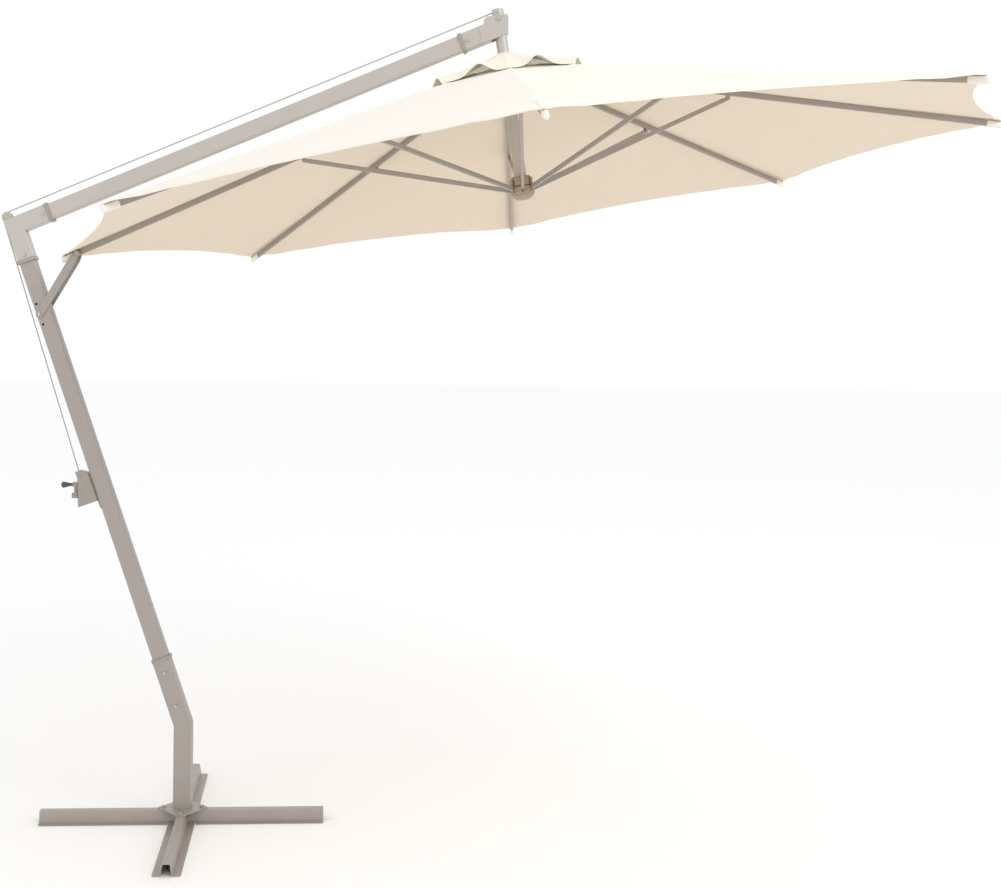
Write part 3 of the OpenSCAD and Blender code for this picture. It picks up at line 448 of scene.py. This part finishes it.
# A tip pocket's half width and half height, and the same at distances along its turned mouth.
POCKET_HALF = (0.0068, 0.0102)
POCKET_MOUTH = ((0, 0.0062, 0.0098), (0.004, 0.0076, 0.0108), (0.010, 0.0070, 0.0104), (0.028, *POCKET_HALF))
POCKET_PAST_TIP = 0.003
POCKET_DROP = 0.0008

# Its round end: length, and how far round it goes before it closes.
POCKET_END = 0.004
POCKET_CLOSE = math.radians(84)
POCKET_END_RINGS = 8

# Its section: points round it, how boxy it is, and its puckers' height, number and turn in each metre.
POCKET_POINTS = 24
POCKET_SQUARE = 0.8
POCKET_RIPPLE = 0.03
POCKET_PUCKERS = 5
POCKET_TWIST = 300

# The tape stops this far short of the cloth's tip and hangs this far below the cloth.
TAPE_SHORT = 0.03
TAPE_CLEAR = 0.0001
TAPE_THICK = 0.0008
TAPE_ROWS = 40
TAPE_COLUMNS = 6
TAPE_RIPPLE = 0.0004
TAPE_WAVES = (14, 30)


def skin_height(cloth, radius):
    """Height of the cloth's underside above the hinge plane, on a rib at that radius."""
    return cloth.above_rib / math.cos(cloth.rib_slope) - (radius - HINGE_R) * math.tan(cloth.rib_slope)


def slack(across):
    """0 on the rib, 1 in the middle of a gore."""
    return 1 - (1 - abs(across)) ** 2


def gore_point(cloth, k, ring_r, across, bow, lift):
    """Point of sector k: across runs from -1 to 1 between two mid-gores, with the rib at 0."""
    out, side, up = rib_axes(k)
    from_rib = abs(across) * HALF_GORE
    depth = ring_r * math.cos(HALF_GORE) - bow * slack(across)
    radius = depth / math.cos(HALF_GORE - from_rib)
    turn = math.copysign(from_rib, across)
    height = skin_height(cloth, depth / math.cos(HALF_GORE)) + lift
    return CROWN + out * (radius * math.cos(turn)) + side * (radius * math.sin(turn)) + up * height


def column_stops(cloth):
    """Places across a sector: even, with extra ones at the edges of the rib seam."""
    even = steps(-1, 1, cloth.columns)
    seam = cloth.seam_w / 2 / (cloth.tip_r * HALF_GORE)
    outer = seam * (1 + SEAM_STEP)
    return sorted(even + [-outer, -seam, seam, outer])


def lift_of_cloth(cloth, k, across, share):
    """How far the main cloth stands above its even shape.

    It is alike on both sides of a sector's edge, where the drift ends, so that neighbours meet.
    """
    loose = slack(across)
    sag = -cloth.sag * loose * math.sin(math.pi * share)
    near_tip = max(0.0, share - FAN_START) / (1 - FAN_START)
    fan = FAN_HIGH * near_tip * math.sin(FAN_TURNS * abs(across)) * math.exp(-FAN_FADE * abs(across))
    wide, far = DRIFT_WAVES
    uneven = noise.noise(Vector((across * wide + k * DRIFT_APART, share * far, k)))
    drift = DRIFT_HIGH * loose * (1 - loose) * uneven * (DRIFT_AT_VENT + (1 - DRIFT_AT_VENT) * share)
    return sag + fan + drift


def sector_of_cloth(cloth, k, materials):
    """Main canopy between the middles of the gores on either side of rib k."""
    span = cloth.tip_r - cloth.vent_hole_r
    hem = cloth.hem_w / span
    stops = sorted(steps(0, 1, cloth.rows) + [1 - hem * (1 + HEM_STEP), 1 - hem])
    top, under, flat = [], [], []
    for share in stops:
        ring_r = cloth.vent_hole_r + span * share
        bow = cloth.hem_bow * share**3
        plies = HEM_PLIES if share > 1 - hem * (1 + HEM_STEP / 2) else 1
        rows = [[], [], []]
        for across in column_stops(cloth):
            lift = lift_of_cloth(cloth, k, across, share)
            in_seam = abs(across) * ring_r * HALF_GORE < cloth.seam_w * SEAM_REACH
            thick = cloth.thick * plies + (SEAM_PLY if in_seam else 0)
            rows[0].append(gore_point(cloth, k, ring_r, across, bow, lift + thick))
            rows[1].append(gore_point(cloth, k, ring_r, across, bow, lift))
            rows[2].append((across * ring_r * HALF_GORE + k * CLOTH_SHIFT, ring_r))
        top.append(rows[0])
        under.append(rows[1])
        flat.append(rows[2])
    return shell(f"canopy_cloth_{k}", top, under, materials, flat)


def lift_of_vent(cloth, k, across, share):
    """How far the vent stands above the slope of the ribs."""
    arch = cloth.vent_arch * share**2 * math.sin(math.pi / 2 * abs(across)) ** VENT_ARCH_POWER
    wide, far, apart = VENT_WAVES
    uneven = noise.noise(Vector((across * wide, share * far, k * apart)))
    ripple = VENT_RIPPLE * abs(across) * (1 - abs(across)) * uneven * share
    return VENT_CLEAR + cloth.vent_neck * (1 - share) + arch + ripple


def sector_of_vent(cloth, k, materials):
    """Vent canopy over rib k: it lies on the rib seam and arches up between two ribs."""
    top, under, flat = [], [], []
    for share in steps(0, 1, cloth.rows // 2):
        ring_r = cloth.vent_inner_r + (cloth.vent_r - cloth.vent_inner_r) * share
        bow = cloth.vent_bow * share
        thick = cloth.thick * (VENT_HEM_PLIES if share > VENT_HEM else 1)
        rows = [[], [], []]
        for across in column_stops(cloth):
            lift = lift_of_vent(cloth, k, across, share)
            rows[0].append(gore_point(cloth, k, ring_r, across, bow, lift + thick))
            rows[1].append(gore_point(cloth, k, ring_r, across, bow, lift))
            rows[2].append((across * ring_r * HALF_GORE + k * VENT_SHIFT, ring_r))
        top.append(rows[0])
        under.append(rows[1])
        flat.append(rows[2])
    return shell(f"vent_cloth_{k}", top, under, materials, flat)


def rib_point(cloth, k, along, sideways, rise):
    """Point by its distance along rib k from the hinge, sideways, and above the rib's middle."""
    out, side, up = rib_axes(k)
    slope = cloth.rib_slope
    hinge = joint_place(fold_joint(k))
    run = out * math.cos(slope) - up * math.sin(slope)
    square = out * math.sin(slope) + up * math.cos(slope)
    return hinge + run * along + side * sideways + square * rise


def pocket_profile(cloth):
    """Distance from the mouth, half width and half height of a pocket, from its mouth to its round end."""
    half_w, half_h = POCKET_HALF
    end = []
    for turn in steps(0, POCKET_CLOSE, POCKET_END_RINGS):
        narrow = math.cos(turn) ** 0.5
        along = cloth.pocket_len - POCKET_END * (1 - math.sin(turn))
        end.append((along, half_w * narrow, half_h * narrow))
    return [*POCKET_MOUTH, *end]


def pocket(cloth, k, materials):
    """Sewn pocket that the rib's tip sits in: a flattened tube with a round end and a mouth hem."""
    tip = (cloth.tip_r - HINGE_R) / math.cos(cloth.rib_slope) + POCKET_PAST_TIP
    mouth = tip - cloth.pocket_len
    rings = []
    for along, wide, high in pocket_profile(cloth):
        ring = []
        for turn in steps(0, 2 * math.pi, POCKET_POINTS)[:-1]:
            pucker = 1 + POCKET_RIPPLE * math.sin(POCKET_PUCKERS * turn + along * POCKET_TWIST)
            sideways = wide * rounded(math.cos(turn), POCKET_SQUARE) * pucker
            rise = high * rounded(math.sin(turn), POCKET_SQUARE) * pucker - POCKET_DROP
            ring.append(rib_point(cloth, k, mouth + along, sideways, rise))
        rings.append(ring)
    return loft(f"tip_pocket_{k}", rings, materials)


def seam_tape(cloth, k, materials):
    """Tape sewn under the seam along rib k, just above the rib."""
    start = (cloth.vent_hole_r - HINGE_R) / math.cos(cloth.rib_slope)
    end = (cloth.tip_r - HINGE_R) / math.cos(cloth.rib_slope) - TAPE_SHORT
    far, wide = TAPE_WAVES
    top, under, flat = [], [], []
    for along in steps(start, end, TAPE_ROWS):
        radius = HINGE_R + along * math.cos(cloth.rib_slope)
        rows = [[], [], []]
        for sideways in steps(-cloth.tape_w / 2, cloth.tape_w / 2, TAPE_COLUMNS):
            # The gores fall away on both sides of the rib, and the tape follows them.
            fall = abs(sideways) * math.tan(HALF_GORE) * math.sin(cloth.rib_slope)
            ripple = TAPE_RIPPLE * noise.noise(Vector((along * far, sideways * wide, k)))
            rise = cloth.above_rib - fall - TAPE_CLEAR + ripple
            rows[0].append(rib_point(cloth, k, along, sideways, rise))
            rows[1].append(rib_point(cloth, k, along, sideways, rise - TAPE_THICK))
            rows[2].append((sideways, radius))
        top.append(rows[0])
        under.append(rows[1])
        flat.append(rows[2])
    return shell(f"seam_tape_{k}", top, under, materials, flat)


def ride_on_rib(piece, k, crumples=True):
    """Moves with rib k, and gets a mesh of its own unless crumples is false."""
    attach(piece, f"rib_{k}")
    if crumples:
        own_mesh(piece)


# ---- Stage ----

FLOOR_SIZE = 80
AIM = Vector((0.6, 0, 1.4))
LAMPS = (
    # name, place, width, watts
    ("key", (5.0, -3.5, 5.5), 3.0, 110),
    ("fill", (-4.0, -4.5, 1.5), 4.0, 15),
)

# The viewer's camera.  Its turns are pan, pitch and roll, in degrees.
CAMERA_PLACE = (0.9465, -4.2574, 1.5734)
CAMERA_TURNS = (-3.32, -0.33, 0.65)
CAMERA_LENS_MM = 47.86
CAMERA_SHIFT = (0.0970, -0.0989)


def stage_floor():
    """Pale matt floor under the base."""
    bpy.ops.mesh.primitive_plane_add(size=FLOOR_SIZE, location=(0, 0, CAD_BOX[0].z))
    floor = bpy.context.object
    floor.name = "floor"
    pale, tree, shader = blank("pale_floor")
    grain = add(tree, "ShaderNodeTexNoise", Scale=1000 / FLOOR_MM)
    shade = tone(tree, [0.97, 0.97, 0.97], grain.outputs["Fac"], low=0.995, high=1.0)
    tree.links.new(shade, shader.inputs["Base Color"])
    shader.inputs["Roughness"].default_value = 0.9
    floor.data.materials.append(pale)


def stage_light(scene):
    """White sky, a large soft key lamp and a weak fill."""
    scene.world = bpy.data.worlds.new("studio")
    scene.world.use_nodes = True
    sky = scene.world.node_tree.nodes["Background"]
    sky.inputs["Color"].default_value = (1.0, 1.0, 1.0, 1)
    sky.inputs["Strength"].default_value = 1.0
    for name, place, width, watts in LAMPS:
        lamp = bpy.data.lights.new(name, "AREA")
        lamp.size = width
        lamp.energy = watts
        holder = bpy.data.objects.new(name, lamp)
        holder.location = place
        holder.rotation_euler = (AIM - Vector(place)).to_track_quat("-Z", "Y").to_euler()
        scene.collection.objects.link(holder)


def stage_camera(scene):
    """Camera that looks level at the parasol, a little turned and rolled."""
    lens = bpy.data.cameras.new("camera")
    lens.lens = CAMERA_LENS_MM
    lens.shift_x, lens.shift_y = CAMERA_SHIFT
    camera = bpy.data.objects.new("camera", lens)
    pan, pitch, roll = (math.radians(turn) for turn in CAMERA_TURNS)
    ahead = Vector((math.sin(pan) * math.cos(pitch), math.cos(pan) * math.cos(pitch), math.sin(pitch)))
    level = Vector((math.cos(pan), -math.sin(pan), 0))
    upright = level.cross(ahead)
    right = level * math.cos(roll) + upright * math.sin(roll)
    up = upright * math.cos(roll) - level * math.sin(roll)
    facing = Matrix((right, up, -ahead)).transposed().to_4x4()
    camera.matrix_world = Matrix.Translation(CAMERA_PLACE) @ facing
    scene.collection.objects.link(camera)
    scene.camera = camera


# ---- Operators ----


class PARASOL_OT_stage(bpy.types.Operator):
    """Set up the floor, the soft studio light and the camera"""

    bl_idname = "parasol.stage"
    bl_label = "Stage"

    def execute(self, context):
        stage_floor()
        stage_light(context.scene)
        stage_camera(context.scene)
        context.scene.view_settings.view_transform = "Standard"
        return {"FINISHED"}


class PARASOL_OT_materials(bpy.types.Operator):
    """Make the materials and put them on the frame's pieces"""

    bl_idname = "parasol.materials"
    bl_label = "Materials"

    def execute(self, context):
        tint = context.scene.parasol_colours
        made = {
            "powder_coat": powder_coat("powder_coated_steel_taupe", tint.taupe, rough=0.42),
            # Painted light: a lighter copy of the taupe coat, for arm, elbow and mast.
            "light_powder_coat": powder_coat("powder_coated_steel_silver", tint.painted_light_taupe, rough=0.38),
            "grey_plastic": moulded("moulded_abs_grey", tint.grey, rough=0.5),
            "dark_plastic": moulded("moulded_polypropylene_dark", tint.knob, rough=0.55),
            "hub_plastic": moulded("moulded_nylon_tan", tint.hub, rough=0.45),
            "cream_plastic": moulded("moulded_acetal_cream", tint.cream, rough=0.4),
            "cord": braid("braided_polyester_cord", tint.cord),
            "fastener_steel": zinc_plate("zinc_plated_steel", tint.zinc),
        }
        canvas("polyester_canvas_outside", tint.cloth_out, low=0.985, high=1.01)
        # Painted shade: the outside canvas again, drawn darker beige for the underside in shade.
        canvas("polyester_canvas_inside", tint.cloth_in_painted_shade, low=0.95, high=1.04)
        canvas("polyester_tape", tint.tape, low=0.93, high=1.04)
        canvas("polyester_canvas_vent", tint.vent, low=0.97, high=1.02)
        for part in FRAME["record"]["subparts"]:
            piece = FRAME["nodes"][part["node"]]
            if part["material_slot"] in made:
                piece.data.materials.clear()
                piece.data.materials.append(made[part["material_slot"]])
        return {"FINISHED"}


class PARASOL_OT_seam_tapes(bpy.types.Operator):
    """Sew a tape under the seam along each rib"""

    bl_idname = "parasol.seam_tapes"
    bl_label = "Seam Tapes"

    def execute(self, context):
        tape = bpy.data.materials["polyester_tape"]
        for k in range(1, RIBS + 1):
            ride_on_rib(seam_tape(context.scene.parasol_cloth, k, [tape, tape]), k)
        return {"FINISHED"}


class PARASOL_OT_tip_pockets(bpy.types.Operator):
    """Sew a pocket on each rib's tip"""

    bl_idname = "parasol.tip_pockets"
    bl_label = "Tip Pockets"

    def execute(self, context):
        outside = bpy.data.materials["polyester_canvas_outside"]
        for k in range(1, RIBS + 1):
            ride_on_rib(pocket(context.scene.parasol_cloth, k, [outside]), k, crumples=False)
        return {"FINISHED"}


class PARASOL_OT_canopy(bpy.types.Operator):
    """Sew the main canopy, one sector over each rib, in place of the frame's canopy"""

    bl_idname = "parasol.canopy"
    bl_label = "Canopy"

    def execute(self, context):
        cloth = context.scene.parasol_cloth
        # The canvas beneath carries painted shade: it is the outside canvas, drawn darker.
        sides = [bpy.data.materials[f"polyester_canvas_{side}"] for side in ("outside", "inside")]
        for k in range(1, RIBS + 1):
            main = sector_of_cloth(cloth, k, sides)
            ride_on_rib(main, k)
            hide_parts("canopy")
        return {"FINISHED"}


class PARASOL_OT_vent(bpy.types.Operator):
    """Sew the small vent canopy over the opening at the top"""

    bl_idname = "parasol.vent"
    bl_label = "Vent"

    def execute(self, context):
        cloth = context.scene.parasol_cloth
        canvas_of_vent = bpy.data.materials["polyester_canvas_vent"]
        for k in range(1, RIBS + 1):
            vent = sector_of_vent(cloth, k, [canvas_of_vent, canvas_of_vent])
            ride_on_rib(vent, k)
            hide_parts("vent_canopy")
        return {"FINISHED"}


class PARASOL_PT_sidebar(bpy.types.Panel):
    """Buttons that build the parasol's looks, in order"""

    bl_label = "Cantilever Parasol"
    bl_idname = "PARASOL_PT_sidebar"
    bl_space_type = "VIEW_3D"
    bl_region_type = "UI"
    bl_category = "Parasol"

    def draw(self, context):
        for operator in OPERATORS:
            self.layout.operator(operator.bl_idname)


OPERATORS = (
    PARASOL_OT_stage,
    PARASOL_OT_materials,
    PARASOL_OT_seam_tapes,
    PARASOL_OT_tip_pockets,
    PARASOL_OT_canopy,
    PARASOL_OT_vent,
)
CLASSES = (ClothSizes, Colours, *OPERATORS, PARASOL_PT_sidebar)


def register():
    for cls in CLASSES:
        bpy.utils.register_class(cls)
    bpy.types.Scene.parasol_cloth = PointerProperty(type=ClothSizes)
    bpy.types.Scene.parasol_colours = PointerProperty(type=Colours)


def unregister():
    del bpy.types.Scene.parasol_colours
    del bpy.types.Scene.parasol_cloth
    for cls in reversed(CLASSES):
        bpy.utils.unregister_class(cls)


def main():
    register()
    bpy.ops.parasol.stage()
    bpy.ops.parasol.materials()
    bpy.ops.parasol.seam_tapes()
    bpy.ops.parasol.tip_pockets()
    bpy.ops.parasol.canopy()
    bpy.ops.parasol.vent()
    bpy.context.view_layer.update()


if __name__ == "__main__":
    main()
